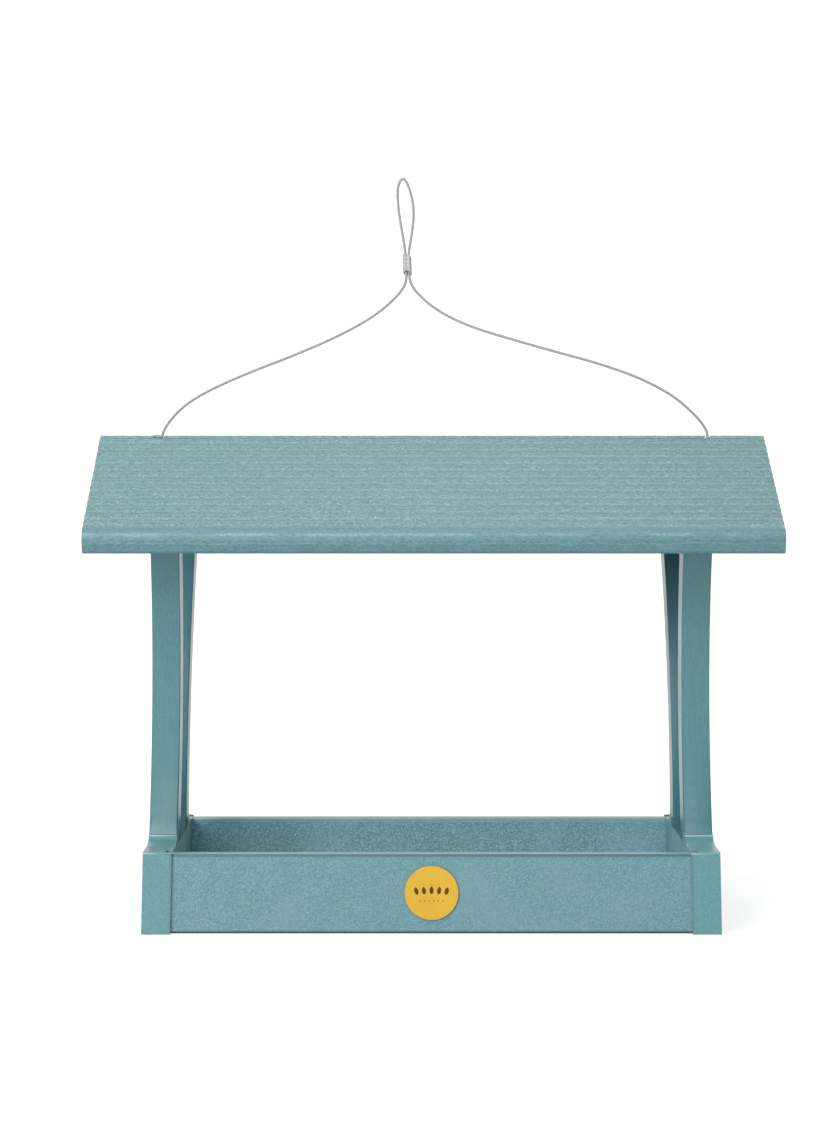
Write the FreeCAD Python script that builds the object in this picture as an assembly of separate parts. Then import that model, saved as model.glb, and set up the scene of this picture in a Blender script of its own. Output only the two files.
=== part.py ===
"""Hanging fly-through feeder: gabled roof, two waisted end frames, seed tray and a cable.

Units are millimetres. Origin: on the floor under the middle of the feeder.
+X runs along the ridge, the front faces -Y, +Z is up.
"""
import FreeCAD
import Part
import math
import os

V = FreeCAD.Vector

# Roof boards
ROOF_HALF_LENGTH = 228.8
RIDGE_Z = 327.5
ROOF_PITCH_DEG = 26.5
ROOF_THICKNESS = 15.0
ROOF_SLOPE_WIDTH = 143.8
FIRST_VALLEY = 1.87
RIB_PITCH = 10.12
RIB_COUNT = 13
RIB_DEPTH = 1.1
NOSE_RADIUS = 7.0
EAVE_LOWER_RADIUS = 0.7
RIDGE_SEAM = 0.05
CABLE_HOLE_RADIUS = 1.6
CABLE_HOLE_AXES = [((-187.5, 307.0), (-186.25, 330.0)), ((186.4, 307.0), (190.4, 330.0))]

# The end frames and everything fixed to them sit a little left of the roof's middle
FRAME_SHIFT_X = -1.3

# End frames, each cut from one board that leans inwards towards the roof
FRAME_OUTER_X = 190.3
FRAME_THICKNESS = 19.0
FRAME_LEAN_DEG = 1.15
BASE_HALF_DEPTH = 107.5
BASE_HEIGHT = 54.0
BASE_CORNER_RADIUS = 1.5
COVE_OUTER_Y = 79.0
COVE_MIDDLE = (69.6, 54.8)
COLLAR_Z = 56.9
LEDGE_Y = 61.5
LEDGE_Z = 59.8
LEDGE_RADIUS = 0.9
WAIST_Z = 108.0
WAIST_HALF_DEPTH = 52.2
LEG_OUTER_RADIUS = 259.0
LEG_WIDTH = 26.0
GABLE_BAND = 24.0
GABLE_FILLET = 9.0
SADDLE_FILLET = 6.0
ROOF_GAP = 0.1
FRAME_EDGE_RADIUS = 1.0

# Tray boards, housed in grooves of the end frames
BOARD_HALF_LENGTH = 173.0
BOARD_FRONT_Y = 105.5
BOARD_THICKNESS = 12.5
BOARD_BOTTOM_Z = 0.5
BOARD_TOP_Z = 52.4
BOARD_EDGE_RADIUS = 0.8
GROOVE_END_X = 174.6
GROOVE_CLEARANCE = 0.1

# Floor pan and the rails that carry it
RAIL_WIDTH = 10.0
RAIL_BOTTOM_Z = 2.0
RAIL_TOP_Z = 11.5
RAIL_END_X = 170.6
PAN_HALF_LENGTH = 167.0
PAN_HALF_DEPTH = 91.0
PAN_BOTTOM_Z = 11.6
PAN_SHEET = 1.2
PAN_HEIGHT = 10.0
DRAIN_RADIUS = 2.5
DRAIN_PITCH = 24.0
DRAIN_COLUMNS = 13
DRAIN_ROWS = 7

# Screws
HEAD_RADIUS = 4.0
HEAD_HEIGHT = 2.6
SHANK_RADIUS = 2.0
BORE_RADIUS = 2.03
SINK_RADIUS = 4.4
SOCKET_LENGTH = 4.4
SOCKET_WIDTH = 1.0
SOCKET_DEPTH = 1.3
CORNER_SCREW_Z = (15.0, 39.0)
CORNER_SCREW_SINK = 1.0
CORNER_SCREW_LENGTH = 40.0
RAIL_SCREW_LENGTH = 17.0
ROOF_SCREW_SLOPE = (34.0, 78.0)
ROOF_SCREW_SINK = 7.0
ROOF_SCREW_BITE = 10.0

# Badge on the front board
BADGE_RADIUS = 18.0
BADGE_THICKNESS = 1.2
BADGE_Z = 27.2

# Hanging cable, its loop sleeve and the two lugs that hold its ends
CABLE_DIAMETER = 2.0
LUG_Z = 293.0
LUG_RING_RADIUS = 4.6
LUG_THICKNESS = 1.4
LUG_BARREL_RADIUS = 2.3
LUG_BARREL_LENGTH = 7.0
LUG_BARREL_RISE = 4.9
LUG_BARREL_GAP = 0.2
LUG_SCREW_LENGTH = 16.0
WASHER_RADIUS = 5.0
WASHER_THICKNESS = 0.8
SLEEVE_WIDTH = 5.9
SLEEVE_THICKNESS = 3.6
SLEEVE_BOTTOM = (-16.8, 437.8)
SLEEVE_TOP = (-17.4, 452.8)
CABLE_CLEARANCE = 0.05

# Corners of the cable's route as (x, z): left lug, up through the ridge, the loop, down to the right lug
CABLE_ROUTE = [
    (-187.85, 299.0), (-187.8, 305.6), (-187.2, 313.0), (-187.1, 326.0), (-182.5, 336.0),
    (-170.5, 348.8), (-152.5, 359.4), (-126.0, 371.0), (-96.0, 382.4), (-66.0, 395.3),
    (-42.0, 408.3), (-27.0, 420.4), (-19.5, 429.3), (-17.8, 434.3), (-17.79, 438.7),
    (-18.02, 446.0), (-18.4, 454.0), (-19.9, 464.0), (-22.1, 475.5), (-23.5, 487.0),
    (-23.8, 495.5), (-23.0, 501.6), (-20.1, 505.6), (-17.2, 501.6), (-15.1, 496.0),
    (-13.2, 488.5), (-12.5, 478.5), (-14.1, 466.0), (-16.2, 454.0), (-15.98, 446.0),
    (-15.75, 438.7), (-15.5, 434.6), (-12.2, 427.3), (2.0, 414.4), (24.0, 403.3),
    (52.0, 394.6), (84.0, 385.6), (116.0, 376.9), (144.0, 367.0), (166.5, 355.0),
    (181.3, 341.8), (187.2, 334.6), (190.8, 327.6), (187.1, 311.5), (185.25, 305.0),
    (185.2, 299.0),
]

PITCH = math.radians(ROOF_PITCH_DEG)
SIN_P = math.sin(PITCH)
COS_P = math.cos(PITCH)
TAN_P = math.tan(PITCH)
BOARD_BACK_Y = BOARD_FRONT_Y - BOARD_THICKNESS
BOARD_MIDDLE_Y = 0.5 * (BOARD_FRONT_Y + BOARD_BACK_Y)
MIDDLE = V(0, 0, 0)


def box(x0, y0, z0, x1, y1, z1):
    """Box between two corners."""
    return Part.makeBox(x1 - x0, y1 - y0, z1 - z0, V(x0, y0, z0))


def rod(radius, start, end):
    """Cylinder from one point to another."""
    step = end.sub(start)
    return Part.makeCylinder(radius, step.Length, start, step)


def mirror_x(shape):
    return shape.mirror(MIDDLE, V(1, 0, 0))


def mirror_y(shape):
    return shape.mirror(MIDDLE, V(0, 1, 0))


def fuse_all(shapes):
    """One shape from several that overlap."""
    result = shapes[0]
    if len(shapes) > 1:
        result = shapes[0].multiFuse(shapes[1:])
    return result


def lean(shape):
    """Turn a right-hand upright piece to the lean of its end frame."""
    turned = shape.copy()
    turned.rotate(V(FRAME_OUTER_X, 0, 0), V(0, 1, 0), -FRAME_LEAN_DEG)
    return turned


def shifted(shape):
    """Move a piece from the frames' own middle to its place under the roof."""
    moved = shape.copy()
    moved.translate(V(FRAME_SHIFT_X, 0, 0))
    return moved


def save(name, shapes):
    """Write one node's solids."""
    solids = []
    for shape in shapes:
        solids.extend(shape.Solids)
    for solid in solids:
        if not solid.isValid() or solid.Volume <= 0:
            raise ValueError("bad solid in " + name)
    body = solids[0] if len(solids) == 1 else Part.makeCompound(solids)
    body.exportStep("parts/" + name + ".step")
    print(name, len(solids), "solid(s)", round(sum(s.Volume for s in solids)), "mm3")


def slope_point(x, along, lift):
    """Point on the back roof slope: distance down from the ridge, height over the top face."""
    return V(x, along * COS_P + lift * SIN_P, RIDGE_Z - along * SIN_P + lift * COS_P)


def roof_board():
    """Back roof board: ribbed top face, rounded eave edge, mitred at the ridge."""
    def point(along, lift):
        return slope_point(-ROOF_HALF_LENGTH, along, lift)

    def arc(a, b, c):
        return Part.Arc(point(*a), point(*b), point(*c)).toShape()

    quarter = RIB_PITCH / 4.0
    half_depth = RIB_DEPTH / 2.0
    edges = [Part.makeLine(point(0.0, 0.0), point(FIRST_VALLEY, -RIB_DEPTH))]
    rise = -RIB_DEPTH + half_depth / 4
    edges.append(arc((FIRST_VALLEY, -RIB_DEPTH), (FIRST_VALLEY + quarter / 2, rise),
                     (FIRST_VALLEY + quarter, -half_depth)))
    for rib in range(RIB_COUNT):
        crest = FIRST_VALLEY + (rib + 0.5) * RIB_PITCH
        edges.append(arc((crest - quarter, -half_depth), (crest, 0.0), (crest + quarter, -half_depth)))
        if rib < RIB_COUNT - 1:
            valley = crest + 2 * quarter
            edges.append(arc((valley - quarter, -half_depth), (valley, -RIB_DEPTH),
                             (valley + quarter, -half_depth)))
    width = ROOF_SLOPE_WIDTH
    nose_start = (width - NOSE_RADIUS, -half_depth)
    nose_end = (width, -half_depth - NOSE_RADIUS)
    nose_mid = (width - 0.293 * NOSE_RADIUS, -half_depth - 0.293 * NOSE_RADIUS)
    edges.append(Part.makeLine(point(crest + quarter, -half_depth), point(*nose_start)))
    edges.append(arc(nose_start, nose_mid, nose_end))
    low = -ROOF_THICKNESS
    r = EAVE_LOWER_RADIUS
    edges.append(Part.makeLine(point(*nose_end), point(width, low + r)))
    edges.append(arc((width, low + r), (width - 0.293 * r, low + 0.293 * r), (width - r, low)))
    inner = ROOF_THICKNESS * TAN_P
    edges.append(Part.makeLine(point(width - r, low), point(inner, low)))
    edges.append(Part.makeLine(point(inner, low), point(0.0, 0.0)))
    face = Part.Face(Part.Wire(edges))
    board = face.extrude(V(2 * ROOF_HALF_LENGTH, 0, 0))
    board = board.cut(box(-300, -50, 200, 300, RIDGE_SEAM / 2, 400))
    for low_end, high_end in CABLE_HOLE_AXES:
        board = board.cut(rod(CABLE_HOLE_RADIUS, V(low_end[0], 0, low_end[1]), V(high_end[0], 0, high_end[1])))
    return board


def frame_outline():
    """Outer and inner wires of the right end frame's board, upright at x = 0."""
    centre_y = WAIST_HALF_DEPTH + LEG_OUTER_RADIUS
    inner_radius = LEG_OUTER_RADIUS + LEG_WIDTH

    def leg_y(radius, z):
        return centre_y - math.sqrt(radius ** 2 - (z - WAIST_Z) ** 2)

    def roof_z(y, drop):
        return RIDGE_Z - drop / COS_P - TAN_P * y

    def meet(radius, drop):
        z = 240.0
        for _ in range(60):
            z = roof_z(leg_y(radius, z), drop)
        return leg_y(radius, z), z

    bottom = -1.0
    c = BASE_CORNER_RADIUS
    low_y = leg_y(LEG_OUTER_RADIUS, LEDGE_Z)
    top_y, top_z = meet(LEG_OUTER_RADIUS, ROOF_THICKNESS + ROOF_GAP)
    half = [
        ("line", (BASE_HALF_DEPTH, bottom), (BASE_HALF_DEPTH, BASE_HEIGHT - c)),
        ("arc", (BASE_HALF_DEPTH, BASE_HEIGHT - c), (BASE_HALF_DEPTH - 0.293 * c, BASE_HEIGHT - 0.293 * c),
         (BASE_HALF_DEPTH - c, BASE_HEIGHT)),
        ("line", (BASE_HALF_DEPTH - c, BASE_HEIGHT), (COVE_OUTER_Y, BASE_HEIGHT)),
        ("arc", (COVE_OUTER_Y, BASE_HEIGHT), COVE_MIDDLE, (LEDGE_Y, COLLAR_Z)),
        ("line", (LEDGE_Y, COLLAR_Z), (LEDGE_Y, LEDGE_Z - LEDGE_RADIUS)),
        ("arc", (LEDGE_Y, LEDGE_Z - LEDGE_RADIUS),
         (LEDGE_Y - 0.293 * LEDGE_RADIUS, LEDGE_Z - 0.293 * LEDGE_RADIUS), (LEDGE_Y - LEDGE_RADIUS, LEDGE_Z)),
        ("line", (LEDGE_Y - LEDGE_RADIUS, LEDGE_Z), (low_y, LEDGE_Z)),
        ("arc", (low_y, LEDGE_Z), (WAIST_HALF_DEPTH, WAIST_Z), (top_y, top_z)),
        ("line", (top_y, top_z), (0.0, roof_z(0.0, ROOF_THICKNESS + ROOF_GAP))),
    ]
    edges = []
    for side in (1, -1):
        for item in half:
            points = [V(0, side * y, z) for y, z in item[1:]]
            if item[0] == "line":
                edges.append(Part.makeLine(points[0], points[1]))
            else:
                edges.append(Part.Arc(points[0], points[1], points[2]).toShape())
    edges.append(Part.makeLine(V(0, -BASE_HALF_DEPTH, bottom), V(0, BASE_HALF_DEPTH, bottom)))
    outer = Part.Wire(Part.sortEdges(edges)[0])

    drop = ROOF_THICKNESS + GABLE_BAND
    hole_y, hole_z = meet(inner_radius, drop)
    saddle_y = leg_y(inner_radius, BASE_HEIGHT)
    edges = []
    for side in (1, -1):
        edges.append(Part.Arc(V(0, side * saddle_y, BASE_HEIGHT),
                              V(0, side * (WAIST_HALF_DEPTH - LEG_WIDTH), WAIST_Z),
                              V(0, side * hole_y, hole_z)).toShape())
        edges.append(Part.makeLine(V(0, side * hole_y, hole_z), V(0, 0, roof_z(0.0, drop))))
    edges.append(Part.makeLine(V(0, -saddle_y, BASE_HEIGHT), V(0, saddle_y, BASE_HEIGHT)))
    inner = Part.Wire(Part.sortEdges(edges)[0])
    return outer, inner, (hole_y, hole_z), saddle_y


def end_frame():
    """Right end frame: base block, two curved legs and the gable under the roof."""
    outer, inner, hole_corner, saddle_y = frame_outline()
    thickness = V(FRAME_THICKNESS, 0, 0)
    start = V(FRAME_OUTER_X - FRAME_THICKNESS, 0, 0)
    panel = Part.Face(outer).extrude(thickness)
    window = Part.Face(inner).extrude(thickness)
    upper = []
    lower = []
    for edge in window.Edges:
        middle = edge.CenterOfMass
        along_x = abs(edge.tangentAt(edge.FirstParameter).x) > 0.9
        if along_x and abs(abs(middle.y) - hole_corner[0]) < 0.5 and abs(middle.z - hole_corner[1]) < 0.5:
            upper.append(edge)
        elif along_x and abs(abs(middle.y) - saddle_y) < 0.5 and abs(middle.z - BASE_HEIGHT) < 0.5:
            lower.append(edge)
    window = window.makeFillet(GABLE_FILLET, upper)
    lower = []
    for edge in window.Edges:
        middle = edge.CenterOfMass
        along_x = abs(edge.tangentAt(edge.FirstParameter).x) > 0.9
        if along_x and abs(abs(middle.y) - saddle_y) < 0.5 and abs(middle.z - BASE_HEIGHT) < 0.5:
            lower.append(edge)
    window = window.makeFillet(SADDLE_FILLET, lower)
    panel = panel.cut(window)
    rim = []
    for edge in panel.Edges:
        middle = edge.CenterOfMass
        tangent = edge.tangentAt(0.5 * (edge.FirstParameter + edge.LastParameter))
        if abs(tangent.x) < 0.1 and middle.z > BASE_HEIGHT + 8 and abs(middle.y) < 101:
            if roof_clear(edge):
                rim.append(edge)
    panel = panel.makeFillet(FRAME_EDGE_RADIUS, rim)
    panel.translate(start)
    panel = lean(panel)
    panel = panel.cut(box(100, -150, -20, 250, 150, 0))
    for side in (-1, 1):
        y_low = min(side * BOARD_FRONT_Y, side * BOARD_BACK_Y) - GROOVE_CLEARANCE
        y_high = max(side * BOARD_FRONT_Y, side * BOARD_BACK_Y) + GROOVE_CLEARANCE
        panel = panel.cut(box(160, y_low, -5, GROOVE_END_X, y_high, 80))
    return panel


def roof_clear(edge):
    """True for edges that do not lie against the roof."""
    middle = edge.CenterOfMass
    roof_line = RIDGE_Z - (ROOF_THICKNESS + ROOF_GAP) / COS_P - TAN_P * abs(middle.y)
    return middle.z < roof_line - 5.0


def tray_board():
    """Back tray board with rounded long edges."""
    board = box(-BOARD_HALF_LENGTH, BOARD_BACK_Y, BOARD_BOTTOM_Z, BOARD_HALF_LENGTH, BOARD_FRONT_Y, BOARD_TOP_Z)
    long_edges = []
    for edge in board.Edges:
        if abs(edge.tangentAt(edge.FirstParameter).x) > 0.9:
            long_edges.append(edge)
    return board.makeFillet(BOARD_EDGE_RADIUS, long_edges)


def screw(tip, head, bore=False):
    """Pan-head screw from its tip to the top of its head, or the bore that clears it."""
    direction = tip.sub(head)
    direction.normalize()
    shoulder = head.add(direction * HEAD_HEIGHT)
    if bore:
        mouth = head.sub(direction * 30)
        return rod(SINK_RADIUS, mouth, shoulder).fuse(rod(BORE_RADIUS, head, tip))
    body = rod(HEAD_RADIUS, head, shoulder)
    shank_end = tip.sub(direction * 3)
    body = body.fuse(rod(SHANK_RADIUS, head, shank_end))
    point = Part.makeCone(SHANK_RADIUS, 0.3, 3, shank_end, direction)
    body = body.fuse(point)
    turn = FreeCAD.Rotation(V(0, 0, 1), direction)
    place = FreeCAD.Placement(head, turn)
    for spin in (0, 90):
        slot = Part.makeBox(SOCKET_LENGTH, SOCKET_WIDTH, 2 * SOCKET_DEPTH,
                            V(-SOCKET_LENGTH / 2, -SOCKET_WIDTH / 2, -SOCKET_DEPTH))
        slot.rotate(MIDDLE, V(0, 0, 1), spin)
        slot.Placement = place.multiply(slot.Placement)
        body = body.cut(slot)
    return body


def corner_screw_ends():
    """Tip and head points of the two screws at the back right corner."""
    ends = []
    for z in CORNER_SCREW_Z:
        face_x = FRAME_OUTER_X - z * math.tan(math.radians(FRAME_LEAN_DEG))
        head = V(face_x - CORNER_SCREW_SINK, BOARD_MIDDLE_Y, z)
        ends.append((head.sub(V(CORNER_SCREW_LENGTH, 0, 0)), head))
    return ends


def roof_screw_ends():
    """Tip and head points of the two screws under the back slope at the right gable."""
    ends = []
    for along in ROOF_SCREW_SLOPE:
        low = -ROOF_THICKNESS - GABLE_BAND
        shift = math.tan(math.radians(FRAME_LEAN_DEG)) * (RIDGE_Z - along * SIN_P)
        x = FRAME_OUTER_X - FRAME_THICKNESS / 2 - shift
        head = slope_point(x, along, low + ROOF_SCREW_SINK)
        tip = slope_point(x, along, -ROOF_THICKNESS + ROOF_SCREW_BITE)
        ends.append((tip, head))
    return ends


def long_rail_screw_ends():
    """Tip and head points of the screws that hold the back floor rail."""
    z = 0.5 * (RAIL_BOTTOM_Z + RAIL_TOP_Z)
    head_y = BOARD_BACK_Y - RAIL_WIDTH + CORNER_SCREW_SINK
    return [(V(x, head_y + RAIL_SCREW_LENGTH, z), V(x, head_y, z)) for x in (-120.0, 0.0, 120.0)]


def side_rail_screw_ends():
    """Tip and head points of the screws that hold the right floor rail."""
    z = 0.5 * (RAIL_BOTTOM_Z + RAIL_TOP_Z)
    head_x = RAIL_END_X - RAIL_WIDTH + CORNER_SCREW_SINK
    return [(V(head_x + RAIL_SCREW_LENGTH, y, z), V(head_x, y, z)) for y in (-55.0, 55.0)]


def floor_pan():
    """Shallow metal pan with a folded rim and drain holes."""
    outer = box(-PAN_HALF_LENGTH, -PAN_HALF_DEPTH, PAN_BOTTOM_Z,
                PAN_HALF_LENGTH, PAN_HALF_DEPTH, PAN_BOTTOM_Z + PAN_HEIGHT)
    upright = [e for e in outer.Edges if abs(e.tangentAt(e.FirstParameter).z) > 0.9]
    outer = outer.makeFillet(4.0, upright)
    inner = box(-PAN_HALF_LENGTH + PAN_SHEET, -PAN_HALF_DEPTH + PAN_SHEET, PAN_BOTTOM_Z + PAN_SHEET,
                PAN_HALF_LENGTH - PAN_SHEET, PAN_HALF_DEPTH - PAN_SHEET, PAN_BOTTOM_Z + 50)
    upright = [e for e in inner.Edges if abs(e.tangentAt(e.FirstParameter).z) > 0.9]
    inner = inner.makeFillet(4.0 - PAN_SHEET, upright)
    pan = outer.cut(inner)
    drains = []
    for column in range(DRAIN_COLUMNS):
        for row in range(DRAIN_ROWS):
            x = (column - (DRAIN_COLUMNS - 1) / 2.0) * DRAIN_PITCH
            y = (row - (DRAIN_ROWS - 1) / 2.0) * DRAIN_PITCH
            drains.append(rod(DRAIN_RADIUS, V(x, y, PAN_BOTTOM_Z - 1), V(x, y, PAN_BOTTOM_Z + PAN_SHEET + 1)))
    return pan.cut(Part.makeCompound(drains))


def cable_path(points):
    """Straight runs joined by tangent arcs."""
    corners = [V(x, 0, z) for x, z in points]
    edges = []
    last = corners[0]
    radii = []
    for before, corner, after in zip(corners, corners[1:], corners[2:]):
        into = corner.sub(before)
        out = after.sub(corner)
        shorter = min(into.Length, out.Length)
        half_turn = 0.5 * into.getAngle(out)
        cut = 0.45 * shorter
        radii.append(cut / math.tan(half_turn))
        into.normalize()
        out.normalize()
        start = corner.sub(into * cut)
        end = corner.add(out * cut)
        inward = out.sub(into)
        inward.normalize()
        centre = corner.add(inward * (radii[-1] / math.cos(half_turn)))
        to_corner = corner.sub(centre)
        to_corner.normalize()
        middle = centre.add(to_corner * radii[-1])
        edges.append(Part.makeLine(last, start))
        edges.append(Part.Arc(start, middle, end).toShape())
        last = end
    edges.append(Part.makeLine(last, corners[-1]))
    print("cable radii", [round(r, 1) for r in radii])
    return Part.Wire(edges)


def cable_tube(radius):
    """Round section swept along the cable's path."""
    path = cable_path(CABLE_ROUTE)
    start = path.Vertexes[0].Point
    direction = path.Edges[0].tangentAt(path.Edges[0].FirstParameter)
    circle = Part.Wire(Part.makeCircle(radius, start, direction))
    tube = path.makePipeShell([circle], True, False)
    expected = math.pi * radius ** 2 * path.Length
    print("cable length", round(path.Length, 1), "volume ratio", round(tube.Volume / expected, 4))
    return tube


def loop_sleeve(cable):
    """Crimped sleeve that closes the hanging loop over both strands."""
    low = V(SLEEVE_BOTTOM[0], 0, SLEEVE_BOTTOM[1])
    high = V(SLEEVE_TOP[0], 0, SLEEVE_TOP[1])
    axis = high.sub(low)
    radius = SLEEVE_THICKNESS / 2
    offset = SLEEVE_WIDTH / 2 - radius
    body = Part.makeBox(2 * offset, 2 * radius, axis.Length, V(-offset, -radius, 0))
    for side in (-1, 1):
        body = body.fuse(Part.makeCylinder(radius, axis.Length, V(side * offset, 0, 0)))
    body = body.removeSplitter()
    turn = FreeCAD.Rotation(V(0, 0, 1), axis)
    body.Placement = FreeCAD.Placement(low, turn)
    return body.cut(cable)


def lug_pieces():
    """Right cable lug, its washer and its screw, upright before the lean."""
    face = FRAME_OUTER_X
    centre = V(face, 0, LUG_Z)
    ring = rod(LUG_RING_RADIUS, centre, centre.add(V(LUG_THICKNESS, 0, 0)))
    barrel_x = face + LUG_BARREL_RADIUS + LUG_BARREL_GAP
    barrel_z = LUG_Z + LUG_BARREL_RISE
    barrel = rod(LUG_BARREL_RADIUS, V(barrel_x, 0, barrel_z), V(barrel_x, 0, barrel_z + LUG_BARREL_LENGTH))
    neck = box(face, -1.8, LUG_Z + 3.0, face + LUG_THICKNESS, 1.8, barrel_z + 1.5)
    lug = fuse_all([ring, neck, barrel])
    washer_start = centre.add(V(LUG_THICKNESS, 0, 0))
    washer = rod(WASHER_RADIUS - 1.2, washer_start, washer_start.add(V(WASHER_THICKNESS, 0, 0)))
    head = centre.add(V(LUG_THICKNESS + WASHER_THICKNESS + HEAD_HEIGHT, 0, 0))
    tip = head.sub(V(LUG_SCREW_LENGTH, 0, 0))
    shoulder = head.sub(V(HEAD_HEIGHT, 0, 0))
    shank = rod(BORE_RADIUS, shoulder, tip)
    body = screw(tip, head)
    lug = lug.cut(shank)
    washer = washer.cut(shank)
    return lug, washer, body, shank


os.makedirs("parts", exist_ok=True)

# Hardware first, because the boards are bored for it
corner_pairs = corner_screw_ends()
corner_bodies = [screw(tip, head) for tip, head in corner_pairs]
corner_bores = [screw(tip, head, bore=True) for tip, head in corner_pairs]
roof_pairs = roof_screw_ends()
roof_bodies = [screw(tip, head) for tip, head in roof_pairs]
roof_bores = [screw(tip, head, bore=True) for tip, head in roof_pairs]
long_pairs = long_rail_screw_ends()
long_bodies = [screw(tip, head) for tip, head in long_pairs]
long_bores = [screw(tip, head, bore=True) for tip, head in long_pairs]
side_pairs = side_rail_screw_ends()
side_bodies = [screw(tip, head) for tip, head in side_pairs]
side_bores = [screw(tip, head, bore=True) for tip, head in side_pairs]
lug, washer, lug_screw, lug_bore = [lean(shape) for shape in lug_pieces()]

frame_bores = corner_bores + [mirror_y(b) for b in corner_bores]
frame_bores += roof_bores + [mirror_y(b) for b in roof_bores]
frame_bores += side_bores + [lug_bore]
frame_right = end_frame()
for bore in frame_bores:
    frame_right = frame_right.cut(bore)
save("end_frame_right", [shifted(frame_right)])
save("end_frame_left", [shifted(mirror_x(frame_right))])

board_back = tray_board()
for bore in corner_bores + [mirror_x(b) for b in corner_bores] + long_bores:
    board_back = board_back.cut(bore)
save("tray_board_back", [shifted(board_back)])
save("tray_board_front", [shifted(mirror_y(board_back))])

roof_back = roof_board()
for bore in roof_bores + [mirror_x(b) for b in roof_bores]:
    roof_back = roof_back.cut(shifted(bore))
save("roof_board_back", [roof_back])
save("roof_board_front", [mirror_y(roof_back)])

rail_back = box(-RAIL_END_X, BOARD_BACK_Y - RAIL_WIDTH, RAIL_BOTTOM_Z, RAIL_END_X, BOARD_BACK_Y, RAIL_TOP_Z)
for bore in long_bores:
    rail_back = rail_back.cut(bore)
save("floor_rail_back", [shifted(rail_back)])
save("floor_rail_front", [shifted(mirror_y(rail_back))])

side_half = BOARD_BACK_Y - RAIL_WIDTH - 0.2
rail_right = box(RAIL_END_X - RAIL_WIDTH, -side_half, RAIL_BOTTOM_Z, RAIL_END_X, side_half, RAIL_TOP_Z)
for bore in side_bores:
    rail_right = rail_right.cut(bore)
save("floor_rail_right", [shifted(rail_right)])
save("floor_rail_left", [shifted(mirror_x(rail_right))])

save("floor_pan", [shifted(floor_pan())])

SCREW_GROUPS = [("corner_screws", corner_bodies), ("roof_screws", roof_bodies)]
for group, bodies in SCREW_GROUPS:
    save(group + "_back_right", [shifted(s) for s in bodies])
    save(group + "_back_left", [shifted(mirror_x(s)) for s in bodies])
    save(group + "_front_right", [shifted(mirror_y(s)) for s in bodies])
    save(group + "_front_left", [shifted(mirror_x(mirror_y(s))) for s in bodies])
save("rail_screws_back", [shifted(s) for s in long_bodies])
save("rail_screws_front", [shifted(mirror_y(s)) for s in long_bodies])
save("rail_screws_right", [shifted(s) for s in side_bodies])
save("rail_screws_left", [shifted(mirror_x(s)) for s in side_bodies])

cable = cable_tube(CABLE_DIAMETER / 2)
cable_bore = cable_tube(CABLE_DIAMETER / 2 + CABLE_CLEARANCE)
save("hanging_cable", [cable])
save("loop_sleeve", [loop_sleeve(cable_bore)])
save("cable_lug_right", [shifted(lug).cut(cable_bore)])
save("cable_lug_left", [shifted(mirror_x(lug)).cut(cable_bore)])
save("lug_washer_right", [shifted(washer)])
save("lug_washer_left", [shifted(mirror_x(washer))])
save("lug_screw_right", [shifted(lug_screw)])
save("lug_screw_left", [shifted(mirror_x(lug_screw))])

badge_start = V(0, -BOARD_FRONT_Y, BADGE_Z)
badge = rod(BADGE_RADIUS, badge_start, badge_start.sub(V(0, BADGE_THICKNESS, 0)))
front_rim = [e for e in badge.Edges if abs(e.CenterOfMass.y + BOARD_FRONT_Y + BADGE_THICKNESS) < 0.01]
badge = badge.makeFillet(0.5, front_rim)
save("badge", [shifted(badge)])
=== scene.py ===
"""Looks for the hanging fly-through feeder: materials, wire rope, badge, sleeve, studio and camera."""
import math

import bmesh
import bpy
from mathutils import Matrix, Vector


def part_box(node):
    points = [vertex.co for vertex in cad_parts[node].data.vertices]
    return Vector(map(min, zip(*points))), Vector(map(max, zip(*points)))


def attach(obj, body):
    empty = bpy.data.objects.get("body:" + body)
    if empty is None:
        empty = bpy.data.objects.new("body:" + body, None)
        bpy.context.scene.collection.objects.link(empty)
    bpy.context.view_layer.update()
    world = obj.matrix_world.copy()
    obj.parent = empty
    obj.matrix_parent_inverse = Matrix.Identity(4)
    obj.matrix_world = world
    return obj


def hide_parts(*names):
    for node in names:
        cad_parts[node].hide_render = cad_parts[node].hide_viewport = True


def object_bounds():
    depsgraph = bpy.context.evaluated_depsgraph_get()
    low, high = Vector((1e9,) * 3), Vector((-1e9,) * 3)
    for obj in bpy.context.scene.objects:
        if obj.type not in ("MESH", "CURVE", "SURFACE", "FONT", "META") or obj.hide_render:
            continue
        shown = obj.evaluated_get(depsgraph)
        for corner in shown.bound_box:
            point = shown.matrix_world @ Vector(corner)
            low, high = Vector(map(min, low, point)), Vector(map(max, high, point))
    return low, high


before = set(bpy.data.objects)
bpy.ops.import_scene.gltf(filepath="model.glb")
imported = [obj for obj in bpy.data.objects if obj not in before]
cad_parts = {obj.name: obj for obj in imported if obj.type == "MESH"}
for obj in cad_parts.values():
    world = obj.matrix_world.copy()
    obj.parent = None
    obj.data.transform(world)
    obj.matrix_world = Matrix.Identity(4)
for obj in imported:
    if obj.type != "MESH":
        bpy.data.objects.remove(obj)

CAD_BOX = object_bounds()
BODY = "feeder"
MM = 0.001


# ---------------------------------------------------------------- camera

CAMERA_DISTANCE = 2.138
CAMERA_HEIGHT = 0.3185
CAMERA_X = -0.0198
LENS = 99.55
SHIFT_X = 0.0149
SHIFT_Y = -0.0999

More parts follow.
